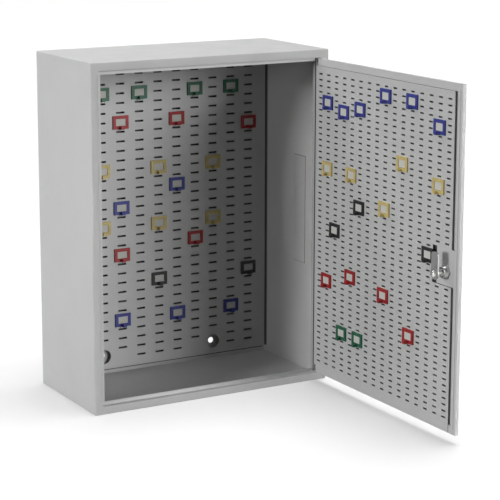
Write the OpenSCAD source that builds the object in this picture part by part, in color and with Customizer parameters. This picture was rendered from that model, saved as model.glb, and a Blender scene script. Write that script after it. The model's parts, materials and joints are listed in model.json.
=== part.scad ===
// Wall key cabinet: a folded steel case with a pin-hung inset door, two slotted
// key panels, clip-in key hooks and a cam lock.
// Millimetres. Origin at the middle of the base, +Z up, the front faces -Y.
// The door is drawn open at door_open degrees, with the lock cam upright.

/* [Case] */
// Width of the case
case_w = 422; // [400:1:440]
// Depth of the case
case_d = 203; // [190:1:230]
// Height of the case
case_h = 550; // [545:1:560]
// Thickness of the case and door sheet
sheet = 1; // [0.8:0.1:1.2]
// Width of the front rim around the door
rim_w = 13.5; // [13:0.5:15]
// Depth of the recess that the door closes into
recess_d = 6; // [6:0.5:8]
// How far the door stops stand in from the rim
stop_w = 5.5; // [4:0.5:7]

/* [Door] */
// Angle that the door stands open at
door_open = 90; // [0:1:92]
// Gap between the door and the rim
door_gap = 0.7; // [0.6:0.1:1.2]
// Overall thickness of the door
door_t = 5.5; // [5.5:0.1:5.5]
// Width of the folded lips along the top and the free edge
lip_w = 11.2; // [9:0.1:12]
// Distance from the rim's inner edge to the hinge axis
axis_in = 3.6; // [3.6:0.1:3.6]
// Depth of the hinge axis behind the case front
axis_back = 3.3; // [3.3:0.1:3.3]
// Diameter of the hinge pins
pin_dia = 2.6; // [2.4:0.1:2.8]

/* [Key panels] */
// Columns of slots in the back panel
back_cols = 11; // [11:2:11]
// Rows of slots in the back panel
back_rows = 32; // [32:2:32]
// Distance between slot columns in the back panel
back_pitch_x = 34.5; // [34:0.5:35]
// Distance between slot rows in the back panel
back_pitch_z = 15.9; // [15.5:0.1:16]
// Columns of slots in the door panel
door_cols = 16; // [16:1:16]
// Rows of slots in the door panel
door_rows = 50; // [50:1:50]
// Distance between slot columns in the door panel
door_pitch_x = 23.25; // [23:0.05:23.3]
// Distance between slot rows in the door panel
door_pitch_z = 9.72; // [9.6:0.01:9.75]
// Distance from the case's back to the front of the back panel
panel_off = 10; // [9:0.5:14]

/* [Wall fixing] */
// Distance between the wall holes across the case
wall_x = 207; // [200:1:210]
// Distance between the wall holes up the case
wall_z = 486; // [480:1:490]
// Diameter of the wall holes
wall_dia = 10; // [8:0.5:10]
// Diameter of the access holes in front of the wall holes
access_dia = 24; // [22:1:26]

/* [Lock] */
// Distance from the case's left side to the lock axis
lock_x = 45; // [44:1:47]
// Height of the lock axis
lock_z = 256.5; // [250:0.5:262]
// Diameter of the lock body
lock_dia = 17; // [16:0.5:18]
// Length of the cam from the lock axis to its tip
cam_len = 32; // [31:1:34]

/* [Hooks] */
// Width of a hook's label frame
hook_w = 28; // [26:1:28]
// Height of a hook's label frame
hook_h = 22; // [20:1:22]
// Thickness of a hook's label frame
hook_t = 2.6; // [2:0.2:3]
// How far a hook's prong stands out from the panel
prong_out = 10; // [8:1:12]

/* [Hidden] */
$fn = 48;
eps = 0.05;

// Case frame: x from the left side, y from the front, z from the base.
paint = [0.80, 0.81, 0.81];
panel_paint = [0.74, 0.75, 0.75];
rim_top = case_h - rim_w;
rim_right = case_w - rim_w;
stop_y = recess_d;
stop_t = 1;
hinge_stop_y = 7.6;
corner_clear = 4.4;
latch_y = 24.4;
hinge_flange_y = 16.6;
plate_y0 = 67;
plate_size = [0.8, 34, 180];
plate_z0 = 184;

// Door, given in its closed place.
door_x0 = rim_w + door_gap;
door_x1 = rim_right - door_gap;
door_z0 = rim_w + door_gap;
door_z1 = rim_top - door_gap;
axis_x = rim_right - axis_in;
axis_y = axis_back;
corner_r = 3;
seam = 0.6;
groove_w = 7.5;
face_y = door_t - sheet;
foot_lip_h = 12;
hinge_lip_w = 2.5;
panel_x0 = door_x0 + lip_w + groove_w;
panel_x1 = door_x1 - hinge_lip_w - seam;
panel_z0 = door_z0 + sheet;
panel_z1 = door_z1 - lip_w - seam;
door_slot = [9.5, 2.6];
door_slot_x0 = panel_x1 - 11.5;
door_slot_z0 = panel_z0 + 20.2;

// Lock notch and plate.
notch_w = 47;
notch_slit = 11;
notch_h = 57;
notch_foot = 1.2;
notch_z0 = lock_z - 22;

// Back panel.
back_x0 = 5;
back_z0 = 10.7;
back_y = case_d - panel_off;
back_slot = [15.5, 3.2];

// Pins and bushes.
pin_r = pin_dia / 2;
pin_len = 9;
pin_head_r = 2.1;
bush_r = 1.8;
bush_bore = pin_r + 0.05;
bush_len = 7;
bush_flange = 0.4;
bush_flange_r = 2.05;
corner_w = 6;
corner_h = 11;
foot_y = face_y - sheet;
stiff_w = 12;
stiff_z0 = 40;
stiff_z1 = 510;
stiff_gaps = [3, 9];

// Lock, with y measured from the case front when the door is closed.
plug_r = 6;
cam_y = 25;
cam_t = 2;
cam_w = 16.5;
cam_round = 5;
tail = 6;
rosette_t = 1.5;
rosette_r = 12;
nut_r = 11;
nut_t = 3;
housing_end = 14.5;
tail_r = 4.6;
key_slot = [1.8, 8];
key_depth = 10;
screw_r = 2;
washer_t = 0.8;
washer_r = 6.5;
head_y = cam_y + cam_t + washer_t;
head_t = 4;
head_r = 7.5;
head_chamfer = 1;

// Parts of a hook.
window = [18, 12];
window_z = -6;
window_floor = 0.6;
label_gap = 0.3;
label_in = 0.9;
prong_w = 6;
prong_t = 1.6;
prong_up = 5;
tongue = [8, 2];
tongue_t = 1.2;
tongue_lip = 2;
hook_play = 0.1;

// Hooks as [column, row], counted from the middle of the back panel.
back_green = [[-3, 12], [-1, 12], [2, 12], [4, 12]];
back_red = [[-2, 9], [1, 9], [5, 8], [2, -4], [-2, -5]];
back_yellow = [[-3, 4], [0, 4], [3, 4], [-3, -2], [0, -2], [3, -2]];
back_blue = [[1, 2], [-2, 0], [-2, -12], [1, -12], [4, -12]];
back_black = [[0, -8], [5, -8]];
back_all = concat(back_green, back_red, back_yellow, back_blue, back_black);

// Hooks as [column from the hinge, row from the bottom] of the door panel.
door_green = [[3, 6], [5, 6]];
door_red = [[1, 14], [4, 16], [8, 15], [11, 10]];
door_yellow = [[1, 33], [4, 33], [10, 37], [14, 35], [8, 29]];
door_blue = [[1, 44], [3, 43], [5, 44], [8, 47], [11, 47], [14, 44]];
door_black = [[5, 28], [2, 23], [13, 24]];
door_all = concat(door_green, door_red, door_yellow, door_blue, door_black);

// A box between two corners.
module slab(low, high) translate(low) cube(high - low);

// From the case frame to the part's frame.
module in_case() translate([-case_w / 2, -case_d / 2, 0]) children();

// From the door's closed place to its open place.
module in_door() in_case()
    translate([axis_x, axis_y, 0]) rotate([0, 0, door_open]) translate([-axis_x, -axis_y, 0])
        children();

// A round bar along +Y, drawn in the case frame.
module bar_y(x, y0, y1, z, r) translate([x, y0, z]) rotate([-90, 0, 0]) cylinder(h = y1 - y0, r = r);

// A plate in the XZ plane from y0 to y1, with its outline given as children.
module plate_xz(y0, y1) translate([0, y1, 0]) rotate([90, 0, 0]) linear_extrude(y1 - y0) children();

// Side walls, top and base

module side_wall(x0) slab([x0, sheet, sheet], [x0 + sheet, case_d, case_h - sheet]);

module left_side() color(paint) in_case() side_wall(0);

module right_side() color(paint) in_case() side_wall(case_w - sheet);

module top_panel() color(paint) in_case()
    slab([0, sheet, case_h - sheet], [case_w, case_d, case_h]);

module bottom_panel() color(paint) in_case() slab([0, sheet, 0], [case_w, case_d, sheet]);

module back_wall() color(paint) in_case() difference() {
    slab([sheet, case_d - sheet, sheet], [case_w - sheet, case_d, case_h - sheet]);
    wall_holes(case_d - sheet, case_d, wall_dia / 2);
}

module wall_holes(y0, y1, r) for (sx = [-1, 1], sz = [-1, 1])
    bar_y(case_w / 2 + sx * wall_x / 2, y0 - eps, y1 + eps, case_h / 2 + sz * wall_z / 2, r);

// Front frame: a rim face, with a return along its inner edge

module frame_left() color(paint) in_case() union() {
    slab([0, 0, rim_w], [rim_w, sheet, rim_top]);
    slab([rim_w - sheet, 0, rim_w], [rim_w, recess_d, rim_top]);
}

module frame_right() color(paint) in_case() union() {
    slab([rim_right, 0, rim_w], [case_w, sheet, rim_top]);
    slab([rim_right, 0, rim_w], [rim_right + sheet, hinge_stop_y, rim_top]);
}

module pin_hole(z) translate([axis_x, axis_y, z - eps]) cylinder(h = sheet + 2 * eps, r = pin_r);

module frame_top() color(paint) in_case() difference() {
    union() {
        slab([0, 0, rim_top], [case_w, sheet, case_h]);
        slab([sheet, 0, rim_top], [case_w - sheet, recess_d, rim_top + sheet]);
    }
    pin_hole(rim_top);
}

module frame_bottom() color(paint) in_case() difference() {
    union() {
        slab([0, 0, 0], [case_w, sheet, rim_w]);
        slab([sheet, 0, rim_w - sheet], [case_w - sheet, recess_d, rim_w]);
    }
    pin_hole(rim_w - sheet);
}

// Door stops, welded behind the rim's return

module stop_left() color(paint) in_case() union() {
    slab([rim_w - sheet, stop_y, rim_w], [rim_w + stop_w, stop_y + stop_t, rim_top]);
    slab([rim_w + stop_w - sheet, stop_y, rim_w], [rim_w + stop_w, latch_y, rim_top]);
}

module cross_stop(z0) slab(
    [rim_w + stop_w, stop_y, z0],
    [axis_x - corner_clear, stop_y + stop_t, z0 + stop_w + sheet]);

module stop_top() color(paint) in_case() cross_stop(rim_top - stop_w);

module stop_bottom() color(paint) in_case() cross_stop(rim_w - sheet);

module stop_hinge() color(paint) in_case() union() {
    slab([rim_right - stop_w, hinge_stop_y, rim_w], [rim_right + sheet, hinge_stop_y + stop_t, rim_top]);
    slab([rim_right - stop_w, hinge_stop_y, rim_w], [rim_right - stop_w + sheet, hinge_flange_y, rim_top]);
}

// Back key panel: slotted face and access holes

function near_access(k, z) = let (off = abs(z - case_h / 2), edge = wall_z / 2 - access_dia)
    (abs(k) == 3 && off > edge) || (abs(k) == 2 && off > edge + back_pitch_z);

module slot_xz(x, z, size) translate([x - size[0] / 2, z - size[1] / 2]) square(size);

function back_slot_x(k) = case_w / 2 + k * back_pitch_x;

function back_slot_z(row) = case_h / 2 + (row + 0.5) * back_pitch_z;

module back_panel_outline() difference() {
    translate([back_x0, back_z0]) square([case_w - 2 * back_x0, case_h - 2 * back_z0]);
    for (k = [-(back_cols - 1) / 2 : (back_cols - 1) / 2], row = [-back_rows / 2 : back_rows / 2 - 1])
        if (!near_access(k, back_slot_z(row)))
            slot_xz(back_slot_x(k), back_slot_z(row), back_slot);
    for (sx = [-1, 1], sz = [-1, 1])
        translate([(case_w + sx * wall_x) / 2, (case_h + sz * wall_z) / 2]) circle(d = access_dia);
}

module back_key_panel() color(panel_paint) in_case() plate_xz(back_y, back_y + sheet) back_panel_outline();

// Rails, welded to the back wall, that hold the key panel off it
module panel_rail(z0) slab([back_x0, back_y + sheet, z0], [case_w - back_x0, case_d - sheet, z0 + sheet]);

module panel_rail_top() color(panel_paint) in_case() panel_rail(case_h - back_z0 - sheet);

module panel_rail_bottom() color(panel_paint) in_case() panel_rail(back_z0);

module side_plate() color(paint) in_case()
    translate([case_w - sheet - plate_size[0], plate_y0, plate_z0]) cube(plate_size);

// Hinge pins, fixed in the rim's returns, and the bushes that turn on them

module hinge_pin() union() {
    cylinder(h = pin_len + sheet, r = pin_r);
    translate([0, 0, -sheet]) cylinder(h = sheet, r = pin_head_r);
}

module hinge_pin_bottom() color("silver") in_case()
    translate([axis_x, axis_y, rim_w - sheet]) hinge_pin();

module hinge_pin_top() color("silver") in_case()
    translate([axis_x, axis_y, rim_top + sheet]) mirror([0, 0, 1]) hinge_pin();

module hinge_bush() difference() {
    union() {
        cylinder(h = bush_len, r = bush_r);
        translate([0, 0, -bush_flange]) cylinder(h = bush_flange, r = bush_flange_r);
    }
    translate([0, 0, -bush_flange - eps]) cylinder(h = bush_len + bush_flange + 2 * eps, r = bush_bore);
}

module hinge_bush_bottom() color("dimgray") in_door()
    translate([axis_x, axis_y, door_z0]) hinge_bush();

module hinge_bush_top() color("dimgray") in_door()
    translate([axis_x, axis_y, door_z1]) mirror([0, 0, 1]) hinge_bush();

// Door shell: outer skin, four returns and the folded lips

module skin_section() union() {
    translate([door_x0, 0]) square([door_x1 - door_x0 - corner_r, sheet]);
    translate([door_x1 - sheet, corner_r]) square([sheet, door_t - corner_r]);
    intersection() {
        translate([door_x1 - corner_r, corner_r]) difference() {
            circle(r = corner_r);
            circle(r = corner_r - sheet);
        }
        translate([door_x1 - corner_r, 0]) square(corner_r);
    }
    translate([door_x0, 0]) square([sheet, door_t]);
}

module end_return(z0) translate([0, 0, z0]) linear_extrude(sheet) union() {
    translate([door_x0, 0]) square([door_x1 - corner_r - door_x0, door_t]);
    translate([door_x1 - corner_r, corner_r]) square([corner_r, door_t - corner_r]);
    translate([door_x1 - corner_r, corner_r]) circle(r = corner_r);
}

module door_shell() color(paint) in_door() difference() {
    union() {
        translate([0, 0, door_z0]) linear_extrude(door_z1 - door_z0) skin_section();
        end_return(door_z0);
        end_return(door_z1 - sheet);
        slab([door_x0, face_y, door_z1 - lip_w], [door_x1 - corner_w, door_t, door_z1]);
        slab([door_x0, face_y, door_z0], [door_x0 + lip_w, door_t, door_z1]);
        slab([door_x1 - hinge_lip_w, face_y, door_z0 + corner_h], [door_x1, door_t, door_z1 - corner_h]);
        slab([door_x0, foot_y, door_z0], [door_x1 - corner_w, foot_y + sheet, door_z0 + foot_lip_h]);
    }
    bar_y(lock_x, -eps, sheet + eps, lock_z, lock_dia / 2);
    for (z = [door_z0, door_z1 - sheet])
        translate([axis_x, axis_y, z - eps]) cylinder(h = sheet + 2 * eps, r = bush_r);
}

module stiffener(x) union() {
    slab([x, sheet, stiff_z0], [x + sheet, face_y, stiff_z1]);
    slab([x, face_y - sheet, stiff_z0], [x + stiff_w, face_y, stiff_z1]);
    slab([x + stiff_w - sheet, sheet, stiff_z0], [x + stiff_w, face_y, stiff_z1]);
}

module door_stiffeners() color(paint) in_door() for (gap = stiff_gaps)
    stiffener(door_slot_x(gap + 0.5) - stiff_w / 2);

// Door key panel: slotted face with a notch for the lock plate

function door_slot_x(col) = door_slot_x0 - col * door_pitch_x;

function door_slot_z(row) = door_slot_z0 + row * door_pitch_z;

function by_lock(x, z) = x < panel_x0 + notch_w + door_slot[0] / 2 + sheet
    && z > notch_z0 - sheet - door_slot[1] / 2
    && z < notch_z0 + notch_h + sheet + door_slot[1] / 2;

module door_panel_outline() difference() {
    translate([panel_x0, panel_z0]) square([panel_x1 - panel_x0, panel_z1 - panel_z0]);
    translate([panel_x0 - eps, notch_z0]) square([notch_w + eps, notch_h]);
    translate([door_x1 - corner_w, panel_z0 - eps]) square([corner_w, corner_h]);
    for (col = [0 : door_cols - 1], row = [0 : door_rows - 1])
        if (!by_lock(door_slot_x(col), door_slot_z(row)))
            slot_xz(door_slot_x(col), door_slot_z(row), door_slot);
}

module door_key_panel() color(panel_paint) in_door()
    plate_xz(face_y, door_t) door_panel_outline();

// Lock: fixed plate, housing and nut; turning plug, cam, washer and screw

module lock_plate() color(panel_paint) in_door() difference() {
    slab([door_x0 + lip_w, face_y, notch_z0 + notch_foot],
        [panel_x0 + notch_w - notch_slit, door_t, notch_z0 + notch_h]);
    bar_y(lock_x, face_y - eps, door_t + eps, lock_z, lock_dia / 2);
}

module lock_housing() color("silver") in_door() difference() {
    union() {
        bar_y(lock_x, 0, housing_end, lock_z, lock_dia / 2);
        bar_y(lock_x, -rosette_t, 0, lock_z, rosette_r);
    }
    bar_y(lock_x, -rosette_t - eps, housing_end + eps, lock_z, plug_r + 0.05);
}

module lock_nut() color("silver") in_door() difference() {
    translate([lock_x, door_t, lock_z]) rotate([-90, 0, 0]) cylinder(h = nut_t, r = nut_r, $fn = 6);
    bar_y(lock_x, door_t - eps, door_t + nut_t + eps, lock_z, lock_dia / 2);
}

module square_y(y0, y1, size) slab(
    [lock_x - size / 2, y0, lock_z - size / 2],
    [lock_x + size / 2, y1, lock_z + size / 2]);

module lock_plug() color("silver") in_door() difference() {
    union() {
        bar_y(lock_x, -rosette_t, housing_end, lock_z, plug_r);
        bar_y(lock_x, housing_end, cam_y, lock_z, tail_r);
        square_y(cam_y, cam_y + cam_t, tail);
    }
    slab([lock_x - key_slot[0] / 2, -rosette_t - eps, lock_z - key_slot[1] / 2],
        [lock_x + key_slot[0] / 2, key_depth, lock_z + key_slot[1] / 2]);
    bar_y(lock_x, cam_y - 6, cam_y + cam_t + eps, lock_z, screw_r);
}

module cam_outline() hull() {
    translate([-cam_w / 2, 0]) square([cam_w, 1]);
    for (side = [-1, 1]) translate([side * (cam_w / 2 - cam_round), cam_len - cam_round]) circle(cam_round);
}

module lock_cam() color("gainsboro") in_door() difference() {
    union() {
        bar_y(lock_x, cam_y, cam_y + cam_t, lock_z, cam_w / 2 + 1);
        plate_xz(cam_y, cam_y + cam_t) translate([lock_x, lock_z]) cam_outline();
    }
    square_y(cam_y - eps, cam_y + cam_t + eps, tail);
}

module cam_washer() color("silver") in_door() difference() {
    bar_y(lock_x, cam_y + cam_t, cam_y + cam_t + washer_t, lock_z, washer_r);
    bar_y(lock_x, cam_y + cam_t - eps, cam_y + cam_t + washer_t + eps, lock_z, screw_r);
}

module cam_screw() color("silver") in_door() union() {
    bar_y(lock_x, cam_y - 5, head_y, lock_z, screw_r);
    translate([lock_x, head_y, lock_z]) rotate([-90, 0, 0]) intersection() {
        cylinder(h = head_t, r = head_r, $fn = 6);
        cylinder(h = head_t, r1 = head_r + head_t - head_chamfer, r2 = head_r - head_chamfer);
    }
}

// Hooks: a label frame that clips into one slot, with a prong for the key ring.
// Drawn flat on the panel: y = 0 is the panel's face and the hook stands towards -Y.

module hook(tongue_z, slot_t) union() {
    difference() {
        slab([-hook_w / 2, -hook_t, -hook_h / 2], [hook_w / 2, 0, hook_h / 2]);
        slab([-window[0] / 2, -hook_t - eps, window_z], [window[0] / 2, -window_floor, window_z + window[1]]);
    }
    slab([-prong_w / 2, -prong_out, -hook_h / 2], [prong_w / 2, 0, -hook_h / 2 + prong_t]);
    slab([-prong_w / 2, -prong_out, -hook_h / 2],
        [prong_w / 2, -prong_out + prong_t, -hook_h / 2 + prong_up]);
    slab([-tongue[0] / 2, 0, tongue_z - tongue[1] / 2],
        [tongue[0] / 2, slot_t + tongue_t, tongue_z + tongue[1] / 2]);
    slab([-tongue[0] / 2, slot_t, tongue_z - tongue[1] / 2 - tongue_lip],
        [tongue[0] / 2, slot_t + tongue_t, tongue_z]);
}

module label() slab(
    [-window[0] / 2 + label_gap, -hook_t + label_in, window_z + label_gap],
    [window[0] / 2 - label_gap, -window_floor, window_z + window[1] - label_gap]);

module on_back(places) in_case() for (place = places)
    translate([back_slot_x(place[0]), back_y, back_slot_z(place[1])]) children();

module on_door(places) in_door() for (place = places)
    translate([door_slot_x(place[0]), door_t, door_slot_z(place[1] + 0.5)])
        mirror([0, 1, 0]) children();

module back_hooks(places) on_back(places) hook(0, sheet + hook_play);

module door_hooks(places) on_door(places) hook(door_pitch_z / 2, sheet + hook_play);

module back_hooks_green() color("seagreen") back_hooks(back_green);
module back_hooks_red() color("firebrick") back_hooks(back_red);
module back_hooks_yellow() color("khaki") back_hooks(back_yellow);
module back_hooks_blue() color("royalblue") back_hooks(back_blue);
module back_hooks_black() color([0.15, 0.15, 0.15]) back_hooks(back_black);
module back_labels() color("white") on_back(back_all) label();
module door_hooks_green() color("seagreen") door_hooks(door_green);
module door_hooks_red() color("firebrick") door_hooks(door_red);
module door_hooks_yellow() color("khaki") door_hooks(door_yellow);
module door_hooks_blue() color("royalblue") door_hooks(door_blue);
module door_hooks_black() color([0.15, 0.15, 0.15]) door_hooks(door_black);
module door_labels() color("white") on_door(door_all) label();

left_side();
right_side();
top_panel();
bottom_panel();
back_wall();
frame_left();
frame_right();
frame_top();
frame_bottom();
stop_left();
stop_top();
stop_bottom();
stop_hinge();
back_key_panel();
panel_rail_top();
panel_rail_bottom();
side_plate();
hinge_pin_top();
hinge_pin_bottom();
back_hooks_green();
back_hooks_red();
back_hooks_yellow();
back_hooks_blue();
back_hooks_black();
back_labels();
door_shell();
door_stiffeners();
door_key_panel();
lock_plate();
hinge_bush_top();
hinge_bush_bottom();
door_hooks_green();
door_hooks_red();
door_hooks_yellow();
door_hooks_blue();
door_hooks_black();
door_labels();
lock_housing();
lock_nut();
lock_plug();
lock_cam();
cam_washer();
cam_screw();
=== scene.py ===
"""Key cabinet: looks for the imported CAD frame. Metres, +Z up, the case's front faces -Y."""
import json
import math

import bmesh
import bpy
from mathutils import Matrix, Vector

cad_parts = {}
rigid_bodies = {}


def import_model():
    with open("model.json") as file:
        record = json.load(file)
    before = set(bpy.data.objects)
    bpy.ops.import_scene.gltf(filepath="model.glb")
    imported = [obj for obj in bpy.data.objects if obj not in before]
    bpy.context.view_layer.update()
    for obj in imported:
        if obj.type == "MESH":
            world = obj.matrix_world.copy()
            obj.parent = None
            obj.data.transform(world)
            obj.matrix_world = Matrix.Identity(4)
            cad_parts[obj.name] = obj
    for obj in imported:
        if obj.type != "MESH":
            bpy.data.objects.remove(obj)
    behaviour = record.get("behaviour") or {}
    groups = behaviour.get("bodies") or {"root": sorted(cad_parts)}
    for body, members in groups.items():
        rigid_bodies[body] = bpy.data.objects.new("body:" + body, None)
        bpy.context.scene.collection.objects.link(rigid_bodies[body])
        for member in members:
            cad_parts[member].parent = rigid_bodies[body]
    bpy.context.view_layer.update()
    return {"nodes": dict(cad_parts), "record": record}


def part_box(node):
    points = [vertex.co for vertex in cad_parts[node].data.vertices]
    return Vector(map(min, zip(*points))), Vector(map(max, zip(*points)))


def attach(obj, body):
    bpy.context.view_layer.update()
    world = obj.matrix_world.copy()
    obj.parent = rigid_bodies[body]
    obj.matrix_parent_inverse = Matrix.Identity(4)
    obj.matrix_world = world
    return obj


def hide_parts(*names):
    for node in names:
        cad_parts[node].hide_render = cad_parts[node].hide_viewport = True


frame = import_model()

MM = 0.001
SHEET = 1.0 * MM   # thickness of the case's and the door's sheet
FOLD = 1.5 * MM    # outside radius of the case's folds
NODES = frame["nodes"]
case_low = Vector((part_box("left_side")[0][0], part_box("frame_left")[0][1], 0.0))
case_high = Vector(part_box("right_side")[1])
case_high.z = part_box("top_panel")[1][2]


# Materials -------------------------------------------------------------------------------------

MIX_A, MIX_B, MIX_RESULT = 6, 7, 2   # the colour sockets of a Mix node
TINY = 0.1 * MM                      # over which the edge of a shaded box fades


def linear(red, green, blue):
    """A colour given as the eye sees it, 0 to 255, as the linear values that a shader wants."""
    def one(value):
        value /= 255
        return value / 12.92 if value <= 0.04045 else ((value + 0.055) / 1.055) ** 2.4
    return one(red), one(green), one(blue), 1.0


class Shader:
    """A small helper that adds and links nodes of one material."""

    def __init__(self, name, metallic=0.0, **sockets):
        self.material = bpy.data.materials.new(name)
        self.material.use_nodes = True
        self.tree = self.material.node_tree
        self.bsdf = self.tree.nodes["Principled BSDF"]
        self.bsdf.inputs["Metallic"].default_value = metallic
        for socket, value in sockets.items():
            self.bsdf.inputs[socket.replace("_", " ")].default_value = value
        self.position = self.add("ShaderNodeTexCoord").outputs["Object"]

    def add(self, kind, **settings):
        node = self.tree.nodes.new(kind)
        for key, value in settings.items():
            setattr(node, key, value)
        return node

    def link(self, source, target):
        self.tree.links.new(source, target)

    def noise(self, scale, detail=3.0, roughness=0.5, stretch=None):
        """Noise of that many waves a metre; stretch squeezes it along the axes."""
        node = self.add("ShaderNodeTexNoise")
        node.inputs["Scale"].default_value = scale
        node.inputs["Detail"].default_value = detail
        node.inputs["Roughness"].default_value = roughness
        if stretch:
            mapping = self.add("ShaderNodeMapping")
            mapping.inputs["Scale"].default_value = stretch
            self.link(self.position, mapping.inputs["Vector"])
            self.link(mapping.outputs["Vector"], node.inputs["Vector"])
        else:
            self.link(self.position, node.inputs["Vector"])
        return node.outputs["Fac"]

    def remap(self, source, low, high, to_low, to_high):
        """Maps the range low..high of a value to to_low..to_high, held at its ends outside the range."""
        node = self.add("ShaderNodeMapRange")
        for socket, value in (("From Min", low), ("From Max", high), ("To Min", to_low), ("To Max", to_high)):
            node.inputs[socket].default_value = value
        self.link(source, node.inputs["Value"])
        return node.outputs["Result"]

    def mix(self, factor, first, second):
        """Blends two colours; each is a colour or a socket."""
        node = self.add("ShaderNodeMix", data_type="RGBA")
        self.link(factor, node.inputs["Factor"])
        for value, socket in ((first, node.inputs[MIX_A]), (second, node.inputs[MIX_B])):
            if isinstance(value, tuple):
                socket.default_value = value
            else:
                self.link(value, socket)
        return node.outputs[MIX_RESULT]

    def edges(self, radius):
        """1 along sharp edges and 0 on flat faces."""
        rounded = self.add("ShaderNodeBevel", samples=4)
        rounded.inputs["Radius"].default_value = radius
        plain = self.add("ShaderNodeNewGeometry")
        dot = self.add("ShaderNodeVectorMath", operation="DOT_PRODUCT")
        self.link(rounded.outputs["Normal"], dot.inputs[0])
        self.link(plain.outputs["Normal"], dot.inputs[1])
        return self.remap(dot.outputs["Value"], 0.999, 0.90, 0.0, 1.0)

    def math(self, operation, first, second=0.0):
        """One sum; each value is a number or a socket."""
        node = self.add("ShaderNodeMath", operation=operation)
        for value, socket in ((first, node.inputs[0]), (second, node.inputs[1])):
            if isinstance(value, float):
                socket.default_value = value
            else:
                self.link(value, socket)
        return node.outputs[0]

    def along(self, axis):
        """The place in the object's own space along an axis, 0 to 2."""
        node = self.add("ShaderNodeSeparateXYZ")
        self.link(self.position, node.inputs[0])
        return node.outputs[axis]

    def distance(self, low, high, axes):
        """Distance outside a box given in this object's own space; negative inside."""
        distance = None
        for axis in axes:
            middle, half = (low[axis] + high[axis]) / 2, (high[axis] - low[axis]) / 2
            away = self.math("ABSOLUTE", self.math("SUBTRACT", self.along(axis), middle))
            away = self.math("SUBTRACT", away, half)
            distance = away if distance is None else self.math("MAXIMUM", distance, away)
        return distance

    def within(self, low, high):
        """1 inside a box."""
        return self.remap(self.distance(low, high, (0, 1, 2)), -TINY, TINY, 1.0, 0.0)

    def outline(self, low, high, width):
        """1 along the outline of a box in Y and Z, on surfaces within its span in X."""
        edge = self.math("ABSOLUTE", self.distance(low, high, (1, 2)))
        edge = self.remap(edge, width * 0.6, width, 1.0, 0.0)
        near = self.remap(self.distance(low, high, (0,)), 3 * TINY, 6 * TINY, 1.0, 0.0)
        return self.math("MULTIPLY", edge, near)

    def bump(self, height, distance, strength):
        node = self.add("ShaderNodeBump")
        node.inputs["Distance"].default_value = distance
        node.inputs["Strength"].default_value = strength
        self.link(height, node.inputs["Height"])
        self.link(node.outputs["Normal"], self.bsdf.inputs["Normal"])

    def finish(self, color, roughness):
        """Links the last two sockets and gives the material."""
        self.link(color, self.bsdf.inputs["Base Color"])
        self.link(roughness, self.bsdf.inputs["Roughness"])
        return self.material


def scaled(color, factor):
    """A colour made darker or paler."""
    return tuple(min(1.0, c * factor) for c in color[:3]) + (1.0,)


# Painted shade: a dark line drawn along the outline of the side plate where it meets the wall.
SEAM_WIDTH = 1.1 * MM
SEAM_SHADE = 0.14


def powder_coat(name, color, shaded=(), seams=()):
    """Satin powder coat: orange peel, faint clouding, dark specks, uneven gloss and paler worn edges.

    shaded are (low, high, shade) in the object's own space: paint inside a box is scaled by its shade, as
    painted shade and light.
    seams are boxes (low, high) whose outline in Y and Z is drawn as a dark line of painted shade along the
    joint.
    """
    s = Shader(name, IOR=1.5)
    cloud = s.remap(s.noise(9.0, 4.0), 0.35, 0.65, 0.0, 1.0)
    base = s.mix(cloud, scaled(color, 0.975), scaled(color, 1.02))
    speck = s.remap(s.noise(2600.0, 1.0), 0.30, 0.70, 0.0, 0.35)
    base = s.mix(speck, base, scaled(color, 0.93))
    broken = s.remap(s.noise(420.0, 3.0), 0.48, 0.62, 0.0, 0.55)
    chips = s.math("MULTIPLY", s.edges(0.6 * MM), broken)
    base = s.mix(chips, base, scaled(color, 1.14))
    for low, high, shade in shaded:
        base = s.mix(s.within(low, high), base, scaled(color, shade))
    for low, high in seams:
        base = s.mix(s.outline(low, high, SEAM_WIDTH), base, scaled(color, SEAM_SHADE))
    peel = s.math("ADD", s.noise(1100.0, 2.0, 0.4), s.noise(3400.0, 1.0, 0.4))
    s.bump(peel, 0.06 * MM, 0.35)
    return s.finish(base, s.remap(s.noise(26.0, 5.0, 0.6), 0.3, 0.7, 0.40, 0.52))


def moulded(name, color, gloss=0.38):
    """Injection-moulded plastic: fine spark texture, slight flow shading and paler edges."""
    s = Shader(name, IOR=1.46, Subsurface_Weight=0.04)
    s.bsdf.inputs["Subsurface Radius"].default_value = (0.0012, 0.0010, 0.0008)
    flow = s.remap(s.noise(60.0, 3.0, 0.5, (1.0, 1.0, 2.5)), 0.35, 0.65, 0.0, 1.0)
    base = s.mix(flow, scaled(color, 0.90), scaled(color, 1.08))
    base = s.mix(s.remap(s.edges(0.4 * MM), 0.0, 1.0, 0.0, 0.35), base, scaled(color, 1.35))
    s.bump(s.noise(3800.0, 2.0), 0.04 * MM, 0.4)
    return s.finish(base, s.remap(s.noise(300.0, 2.0), 0.3, 0.7, gloss - 0.05, gloss + 0.10))


def plated(name, color, low, high, grain=(1.0, 1.0, 14.0)):
    """Plated or drawn metal: fine brushing, finger marks in the gloss (low to high) and bright edges."""
    s = Shader(name, metallic=1.0)
    brushing = s.noise(900.0, 4.0, 0.65, grain)
    base = s.mix(s.remap(brushing, 0.3, 0.7, 0.0, 1.0), scaled(color, 0.88), scaled(color, 1.05))
    base = s.mix(s.remap(s.edges(0.4 * MM), 0.0, 1.0, 0.0, 0.5), base, scaled(color, 1.25))
    s.bump(brushing, 0.02 * MM, 0.5)
    return s.finish(base, s.remap(s.noise(120.0, 4.0, 0.6), 0.3, 0.7, low, high))


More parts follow.
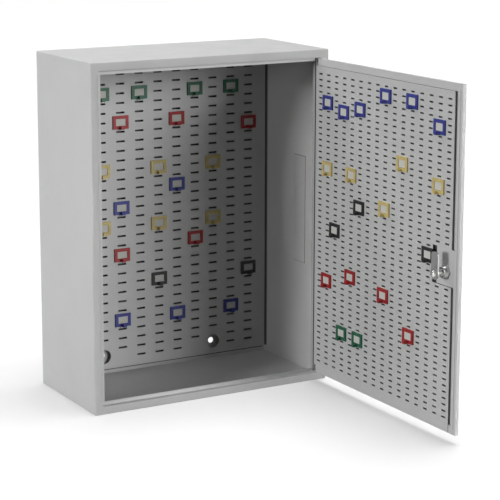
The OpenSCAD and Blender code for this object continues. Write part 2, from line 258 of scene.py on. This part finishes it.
def card(name, color):
    """Matt card: paper fibre, with a faint uneven fade."""
    s = Shader(name)
    fade = s.remap(s.noise(40.0, 3.0), 0.3, 0.7, 0.0, 1.0)
    base = s.mix(fade, scaled(color, 0.95), color)
    fibre = s.noise(2200.0, 4.0, 0.7, (1.0, 1.0, 0.35))
    base = s.mix(s.remap(fibre, 0.35, 0.75, 0.0, 0.3), base, scaled(color, 0.86))
    s.bump(fibre, 0.03 * MM, 0.5)
    return s.finish(base, s.remap(s.noise(90.0, 2.0), 0.3, 0.7, 0.75, 0.9))


PAINT = (0.52, 0.525, 0.52, 1.0)
MATERIALS = {
    "case_paint": powder_coat("case_powder_coat", PAINT),
    "panel_paint": powder_coat("panel_powder_coat", scaled(PAINT, 0.95)),
    "pin_steel": plated("drawn_steel", linear(178, 178, 176), 0.28, 0.42),
    "bush_nylon": moulded("nylon", linear(74, 74, 74), 0.45),
    "label_card": card("label_card", linear(194, 194, 189)),
    "hook_green": moulded("green_plastic", linear(36, 92, 68)),
    "hook_red": moulded("red_plastic", linear(150, 30, 34)),
    "hook_yellow": moulded("sand_plastic", linear(190, 172, 112)),
    "hook_blue": moulded("blue_plastic", linear(52, 58, 132)),
    "hook_black": moulded("black_plastic", linear(34, 34, 36)),
    "cam_steel": plated("zinc_plate", linear(170, 171, 170), 0.34, 0.5),
    "lock_chrome": plated("nickel_plate", linear(196, 196, 194), 0.16, 0.28),
}


# Shades of paint that stand in for shadow and light that the lights don't give: below 1 a painted shade,
# above 1 a painted highlight. 1 is plain paint.
SLOT_SHADE_DOOR = 0.10
PLAIN_SHADE = 1.0
LIP_FOLD_SHADE = 0.45
# A painted highlight that makes the door's end face paler.
DOOR_END_PAINTED_HIGHLIGHT = 1.4
SLOT_SHADE_BACK = 0.13
ACCESS_HOLE_SHADE = 0.8
GROOVE_SHADE = 0.15
HINGE_LINE_SHADE = 0.08
SILL_EDGE_SHADE = 0.62


def own_box(node, low, high, shade):
    """A box of the frame in the space of a CAD node, with the shade to give it."""
    move = NODES[node].matrix_world.inverted()
    return move @ Vector(low), move @ Vector(high), shade


def door_shades():
    """Painted shade on the skin behind the slots and on the lip's fold line, a plain strip near the lip, and
    a painted highlight on the end face.
    """
    low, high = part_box("door_shell")
    panel_low, panel_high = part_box("door_key_panel")
    plate_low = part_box("lock_plate")[0]
    skin = high[0] - SHEET
    lip = plate_low[1]
    fold = (lip + low[1]) / 2
    deep, thin, line = 0.4 * MM, 0.3 * MM, 0.6 * MM
    strip, end = 9 * MM, 8 * MM
    return [
        own_box("door_shell", (skin - deep, lip, panel_low[2]),
                (skin + deep, panel_high[1], panel_high[2]), SLOT_SHADE_DOOR),
        own_box("door_shell", (skin - deep, lip - 0.5 * MM, panel_low[2]),
                (skin + deep, panel_low[1] + strip, panel_high[2]), PLAIN_SHADE),
        own_box("door_shell", (plate_low[0] - thin, fold - line, low[2] + end),
                (plate_low[0] + thin, fold + line, high[2] - end), LIP_FOLD_SHADE),
        own_box("door_shell", (low[0] - MM, low[1] - MM, low[2] - MM),
                (high[0] + MM, low[1] + deep, high[2] + MM), DOOR_END_PAINTED_HIGHLIGHT),
    ]


def wall_shades():
    """Painted shade on the back wall behind the key panel, paler round the wall holes, and in the groove
    beside the panel.
    """
    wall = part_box("back_wall")[0][1]
    low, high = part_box("back_key_panel")
    thin, beside, below = 0.3 * MM, 2 * MM, 4.3 * MM
    back = [own_box("back_wall", (low[0] - beside, wall - thin, low[2] - below),
                    (high[0] + beside, wall + thin, high[2] + beside), SLOT_SHADE_BACK)]
    holes = next(mount for mount in frame["record"]["mounts"] if mount["name"] == "wall_holes")
    around = 16 * MM
    for across in (-0.5, 0.5):
        for up in (-0.5, 0.5):
            x = holes["pos_m"][0] + across * holes["dims"]["spacing_x_mm"] * MM
            z = holes["pos_m"][2] + up * holes["dims"]["spacing_y_mm"] * MM
            back.append(own_box("back_wall", (x - around, wall - thin, z - around),
                                (x + around, wall + thin, z + around), ACCESS_HOLE_SHADE))
    groove = [((case_high.x - 1.4 * MM, low[1] - 1.5 * MM, low[2]),
               (case_high.x - 0.6 * MM, wall, high[2]), GROOVE_SHADE)]
    return back, groove


def front_shades():
    """Painted shade on the hinge line on the stop beside the door, and along the edge of the sill."""
    low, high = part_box("stop_hinge")
    hinge_line = [own_box("stop_hinge", (low[0] - MM, low[1] - MM, low[2]),
                          (high[0] + MM, low[1] + 2.2 * MM, high[2]), HINGE_LINE_SHADE)]
    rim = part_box("frame_bottom")[1][2]
    end = 14 * MM
    sill = [((case_low.x + end, case_low.y - MM, rim - 1.3 * MM),
             (case_high.x - end, case_low.y + 0.9 * MM, rim + MM), SILL_EDGE_SHADE)]
    return hinge_line, sill


back_shades, groove_shades = wall_shades()
hinge_shades, sill_shades = front_shades()
# Paint darkened to 0.72: painted shade over the whole hinge stop, and the lock nut's own darker grey.
STOP_SHADE_AND_NUT_GREY = scaled(PAINT, 0.72)
NO_GRAIN = (1.0, 1.0, 1.0)
# Own looks: painted shade in boxes and round the side plate, a painted highlight on the door's end face, and
# the hinge stop darkened all over as painted shade.
LOOKS = {
    "door_shell": powder_coat("door_powder_coat", PAINT, door_shades()),
    "back_wall": powder_coat("back_powder_coat", PAINT, back_shades),
    "folded_right": powder_coat("right_powder_coat", PAINT, groove_shades, [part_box("side_plate")]),
    "folded_bottom": powder_coat("bottom_powder_coat", PAINT, sill_shades),
    "stop_hinge": powder_coat("stop_powder_coat_painted_shade", STOP_SHADE_AND_NUT_GREY, hinge_shades),
    "lock_nut": powder_coat("boss_grey", STOP_SHADE_AND_NUT_GREY),
    "cam_dome": plated("bright_nickel", linear(226, 226, 224), 0.16, 0.26, NO_GRAIN),
    "lock_barrel": plated("satin_nickel", linear(168, 168, 166), 0.24, 0.40),
}


def dress(obj, slot_name):
    """Gives an object its own look, or the one of its slot."""
    obj.data.materials.clear()
    obj.data.materials.append(LOOKS.get(obj.name, MATERIALS[slot_name]))


def bevel(obj, width, segments):
    """Rounds the edges that turn by more than 40 degrees."""
    made = obj.modifiers.new("edge_round", "BEVEL")
    made.width = width
    made.segments = segments
    made.limit_method = "ANGLE"
    made.angle_limit = math.radians(40)
    made.harden_normals = True


# The CAD nodes keep their shape and get their material and small edge radii.
EDGE_RADIUS = {
    "case_paint": 0.25 * MM,
    "panel_paint": 0.12 * MM,
    "pin_steel": 0.2 * MM,
    "bush_nylon": 0.1 * MM,
    "label_card": 0.1 * MM,
    "cam_steel": 0.3 * MM,
    "lock_chrome": 0.35 * MM,
}
HOOK_RADIUS = 0.55 * MM
for part in frame["record"]["subparts"]:
    node = NODES[part["node"]]
    slot = part["material_slot"]
    dress(node, slot)
    bevel(node, EDGE_RADIUS.get(slot, HOOK_RADIUS), 1 if slot == "panel_paint" else 2)


# Pieces built in mesh code ---------------------------------------------------------------------

SAME_POINT = 0.001 * MM
SHARP = math.radians(30)


def new_piece(name, bm, body, replaced, slot_name):
    """Turns a bmesh into a dressed piece that rides on a body in place of its CAD nodes."""
    bmesh.ops.remove_doubles(bm, verts=bm.verts, dist=SAME_POINT)
    bmesh.ops.dissolve_degenerate(bm, edges=bm.edges, dist=SAME_POINT)
    bmesh.ops.recalc_face_normals(bm, faces=bm.faces)
    for face in bm.faces:
        face.smooth = True
    for edge in bm.edges:
        edge.smooth = len(edge.link_faces) == 2 and edge.calc_face_angle(0.0) < SHARP
    mesh = bpy.data.meshes.new(name)
    bm.to_mesh(mesh)
    bm.free()
    piece = bpy.data.objects.new(name, mesh)
    bpy.context.scene.collection.objects.link(piece)
    dress(piece, slot_name)
    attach(piece, body)
    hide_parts(*replaced)


def join_rings(bm, ring, following):
    """Faces between two closed rings with the same number of points."""
    for i in range(len(ring)):
        j = (i + 1) % len(ring)
        bm.faces.new((ring[i], ring[j], following[j], following[i]))


def arc(center, radius, start, end, steps):
    """Points of an arc, with its angles in degrees."""
    return [(center[0] + radius * math.cos(math.radians(start + (end - start) * i / steps)),
             center[1] + radius * math.sin(math.radians(start + (end - start) * i / steps)))
            for i in range(steps + 1)]


def rim_section(rim, depth, return_depth):
    """Section of one wall as (distance in from the outside, distance back): wall, rim face and return."""
    lip = 1.0 * MM
    return ([(0.0, depth)]
            + arc((FOLD, FOLD), FOLD, 180, 270, 5)
            + arc((rim - lip, lip), lip, 270, 360, 4)
            + [(rim, return_depth), (rim - SHEET, return_depth), (rim - SHEET, SHEET)]
            + arc((FOLD, FOLD), FOLD - SHEET, 270, 180, 3)
            + [(SHEET, depth)])


def folded_wall(name, first, last, inward, section, front, replaced):
    """One wall of the case with its folded rim, from corner to corner, ending on the 45 degree planes."""
    along = (last - first).normalized()
    turns = (45.0, 22.5, 0.0)

    def place(corner, way, offset, turn):
        """A point that far in from the outside; the first few lie on the fold round the corner."""
        if offset >= FOLD:
            return corner + (way + inward) * offset
        turn = math.radians(turn)
        middle = corner + (way + inward) * FOLD
        return middle - (inward * math.cos(turn) + way * math.sin(turn)) * (FOLD - offset)

    bm = bmesh.new()
    rings = []
    for corner, way, order in ((first, along, turns), (last, -along, turns[::-1])):
        for turn in order:
            points = [(place(corner, way, offset, turn), back) for offset, back in section]
            rings.append([bm.verts.new((point.x, front + back, point.z)) for point, back in points])
    for ring, following in zip(rings, rings[1:]):
        join_rings(bm, ring, following)
    bm.faces.new(rings[0])
    bm.faces.new(rings[-1][::-1])
    new_piece(name, bm, "case", replaced, "case_paint")


def make_case_walls():
    """The four walls of the case, each with its rim."""
    left, right = case_low.x, case_high.x
    bottom, top = case_low.z, case_high.z
    front, depth = case_low.y, case_high.y - case_low.y
    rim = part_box("frame_left")[1][0] - left
    corners = {
        "sw": Vector((left, 0, bottom)), "nw": Vector((left, 0, top)),
        "ne": Vector((right, 0, top)), "se": Vector((right, 0, bottom)),
    }
    for side, start, end, inward, flat in (
        ("left", "sw", "nw", Vector((1, 0, 0)), "left_side"),
        ("top", "nw", "ne", Vector((0, 0, -1)), "top_panel"),
        ("right", "ne", "se", Vector((-1, 0, 0)), "right_side"),
        ("bottom", "se", "sw", Vector((0, 0, 1)), "bottom_panel"),
    ):
        rim_node = "frame_" + side
        section = rim_section(rim, depth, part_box(rim_node)[1][1] - front)
        folded_wall("folded_" + side, corners[start], corners[end], inward, section, front,
                    (flat, rim_node))


def lathe(bm, middle, profile, steps=64):
    """Revolves a closed profile of (place along X, radius) round an X axis through a point."""
    rings = []
    for k in range(steps):
        turn = 2 * math.pi * k / steps
        rings.append([bm.verts.new((x, middle[1] + r * math.cos(turn), middle[2] + r * math.sin(turn)))
                      for x, r in profile])
    for k in range(steps):
        join_rings(bm, rings[k], rings[(k + 1) % steps])


def make_lock_housing():
    """Barrel of the lock: a rounded flange on the door's outside and a threaded body inside."""
    low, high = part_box("lock_housing")
    nut_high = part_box("lock_nut")[1]
    plug_low, plug_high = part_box("lock_plug")
    middle = [(a + b) / 2 for a, b in zip(low, high)]
    bore = (plug_high[2] - plug_low[2]) / 2 + 0.05 * MM
    barrel = 8.5 * MM
    pitch, cut = 1.0 * MM, 0.32 * MM
    flange, flange_t, rounding = (high[2] - low[2]) / 2, 1.5 * MM, 2.2 * MM
    skin = high[0] - flange_t
    profile = [(high[0], bore + 0.2 * MM), (high[0], flange - rounding)]
    for degrees in (20, 40, 60, 75, 90):
        turn = math.radians(degrees)
        profile.append((high[0] - flange_t * (1 - math.cos(turn)) * 0.9,
                        flange - rounding + rounding * math.sin(turn)))
    profile += [(skin, flange), (skin, barrel)]
    x = nut_high[0]
    profile.append((x, barrel))
    end = low[0] + 1.4 * MM
    while x - pitch > end:
        profile += [(x - 0.5 * pitch, barrel - cut), (x - pitch, barrel)]
        x -= pitch
    profile += [(end, barrel - cut), (end - 0.2 * MM, barrel), (low[0] + 0.4 * MM, barrel),
                (low[0], barrel - 0.5 * MM), (low[0], bore + 0.3 * MM), (low[0] + 0.3 * MM, bore),
                (high[0] - 0.2 * MM, bore)]
    bm = bmesh.new()
    lathe(bm, middle, profile)
    new_piece("lock_barrel", bm, "door", ("lock_housing",), "lock_chrome")


def make_cam_screw():
    """Domed hexagon head that holds the cam: a six-sided head and shank, and a round dome on it."""
    low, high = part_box("cam_screw")
    middle = [(a + b) / 2 for a, b in zip(low, high)]
    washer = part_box("cam_washer")[0][0]
    radius = (high[2] - low[2]) / 2 * math.cos(math.radians(30))
    rise = washer - low[0]
    foot = washer - 0.45 * rise
    top = foot - 0.2 * rise
    dome_foot, dome_r, dome_rise = foot - 0.15 * rise, radius * 0.82, 0.4 * rise
    shank, core = 2.0 * MM, 0.1 * MM
    head = [(high[0], core), (high[0], shank), (washer, shank), (washer, radius),
            (foot, radius), (top, radius * 0.86), (top, core)]
    dome = [(dome_foot, core), (dome_foot, dome_r)]
    for degrees in range(15, 91, 15):
        turn = math.radians(degrees)
        dome.append((dome_foot - dome_rise * math.sin(turn), max(core, dome_r * math.cos(turn))))
    bm = bmesh.new()
    lathe(bm, middle, head, 6)
    lathe(bm, middle, dome, 48)
    new_piece("cam_dome", bm, "lock_cylinder", ("cam_screw",), "cam_steel")


make_case_walls()
make_lock_housing()
make_cam_screw()


# Camera ----------------------------------------------------------------------------------------

# Solved from the case's corners in the photo. A small shift keeps the other views in the picture.
CAMERA_AT = Vector((-1.11678, -2.41681, 0.85057)) + case_low
CAMERA_YAW = math.radians(29.37)
CAMERA_PITCH = math.radians(10.85)
CAMERA_LENS = 128.23
CAMERA_SHIFT = (0.0361, -0.10)


def make_camera():
    """The camera that the photo was matched with."""
    data = bpy.data.cameras.new("camera")
    data.lens = CAMERA_LENS
    data.shift_x, data.shift_y = CAMERA_SHIFT
    data.clip_start = 0.05
    camera = bpy.data.objects.new("camera", data)
    camera.location = CAMERA_AT
    camera.rotation_euler = (math.radians(90) - CAMERA_PITCH, 0.0, -CAMERA_YAW)
    bpy.context.scene.collection.objects.link(camera)
    bpy.context.scene.camera = camera


# Studio ----------------------------------------------------------------------------------------

FLOOR_SIZE = 14.0
SUN_AWAY = 2.5          # where the lamp stands; a distant light is the same from anywhere
WORLD_FILL = 0.055      # the sky's strength for diffuse light
WORLD_GLOSS = 0.30      # the sky's strength in reflections


def make_floor():
    """A plain white floor. It sends no light back up, so the case's inside keeps its deep shade."""
    bpy.ops.mesh.primitive_plane_add(size=FLOOR_SIZE, location=(0.0, 0.0, 0.0))
    floor = bpy.context.object
    floor.name = "floor"
    s = Shader("floor_white", Roughness=1.0)
    s.bsdf.inputs["Specular IOR Level"].default_value = 0.0
    s.bsdf.inputs["Base Color"].default_value = (0.9, 0.9, 0.9, 1.0)
    floor.data.materials.append(s.material)
    floor.visible_diffuse = False
    return floor


def sun(name, azimuth, elevation, strength, softness):
    """A soft distant light. Azimuth 0 comes from -Y and 90 from +X."""
    data = bpy.data.lights.new(name, "SUN")
    data.energy = strength
    data.angle = math.radians(softness)
    light = bpy.data.objects.new(name, data)
    a, e = math.radians(azimuth), math.radians(elevation)
    light.rotation_mode = "QUATERNION"
    way = Vector((-math.sin(a) * math.cos(e), math.cos(a) * math.cos(e), -math.sin(e)))
    light.rotation_quaternion = way.to_track_quat("-Z", "Y")
    light.location = -SUN_AWAY * way
    bpy.context.scene.collection.objects.link(light)
    return light


def receivers(name, objects, state="INCLUDE"):
    """A set of objects that a light shines on, or leaves out."""
    made = bpy.data.collections.new(name)
    for i, one in enumerate(objects):
        made.objects.link(one)
        made.collection_objects[i].light_linking.link_state = state
    return made


def make_world():
    """A sky that the camera sees white, and that lights and reflects much less."""
    world = bpy.data.worlds.new("studio")
    world.use_nodes = True
    tree = world.node_tree
    sky = tree.nodes["Background"]
    sky.inputs["Color"].default_value = (1.0, 1.0, 1.0, 1.0)
    path = tree.nodes.new("ShaderNodeLightPath")
    gloss, fill, seen = (tree.nodes.new("ShaderNodeMath") for _ in range(3))
    gloss.operation, fill.operation, seen.operation = "MULTIPLY", "MAXIMUM", "MAXIMUM"
    gloss.inputs[1].default_value = WORLD_GLOSS
    fill.inputs[1].default_value = WORLD_FILL
    tree.links.new(path.outputs["Is Glossy Ray"], gloss.inputs[0])
    tree.links.new(gloss.outputs[0], fill.inputs[0])
    tree.links.new(path.outputs["Is Camera Ray"], seen.inputs[0])
    tree.links.new(fill.outputs[0], seen.inputs[1])
    tree.links.new(seen.outputs[0], sky.inputs["Strength"])
    bpy.context.scene.world = world


def make_lights(floor):
    """Suns for the walls, the door and the rest, to match the photo, and others for the floor alone."""
    walls = [o for o in bpy.data.objects if o.name.startswith("folded_")]
    door = [NODES[name] for name in ("door_shell", "door_key_panel", "lock_plate")]
    bodies = frame["record"]["behaviour"]["bodies"]
    everything = receivers("all_but_the_floor", [floor], "EXCLUDE")
    inside = receivers("all_but_floor_and_walls", [floor] + walls, "EXCLUDE")
    only_walls = receivers("only_the_walls", walls)
    not_door = receivers("all_but_floor_and_door", [floor] + door, "EXCLUDE")
    only_door = receivers("only_the_door", door)
    only_floor = receivers("only_the_floor", [floor])
    case_set = receivers("case_pieces", walls + [NODES[name] for name in bodies["case"]])
    door_set = receivers("door_pieces", [NODES[name] for name in bodies["door"]])
    # name, azimuth, elevation, strength, softness, what it shines on, what throws a shadow (None: all)
    for *light, shines_on, blockers in (
        ("key", 21, 11, 2.15, 26, inside, None),
        ("key_on_walls", 21, 23, 0.72, 26, only_walls, None),
        ("front_on_walls", -17, 10, 1.1, 20, only_walls, None),
        ("left", -79, 16, 2.05, 18, not_door, None),
        ("left_on_door", -82, 8, 1.92, 14, only_door, None),
        ("back_left", -130, 42, 0.62, 25, everything, None),
        ("over_back", 180, 68, 2.0, 30, everything, None),
        ("right", 108, 25, 1.2, 25, everything, None),
        ("floor_top", 0, 88, 0.8, 50, only_floor, None),
        ("floor_right", 80, 77, 1.0, 62, only_floor, None),
        ("floor_case", 80, 74, 0.9, 50, only_floor, case_set),
        ("floor_door", 140, 72, 1.0, 40, only_floor, door_set),
    ):
        made = sun(*light)
        made.light_linking.receiver_collection = shines_on
        if blockers:
            made.light_linking.blocker_collection = blockers


make_camera()
make_world()
make_lights(make_floor())
bpy.context.scene.view_settings.view_transform = "Standard"
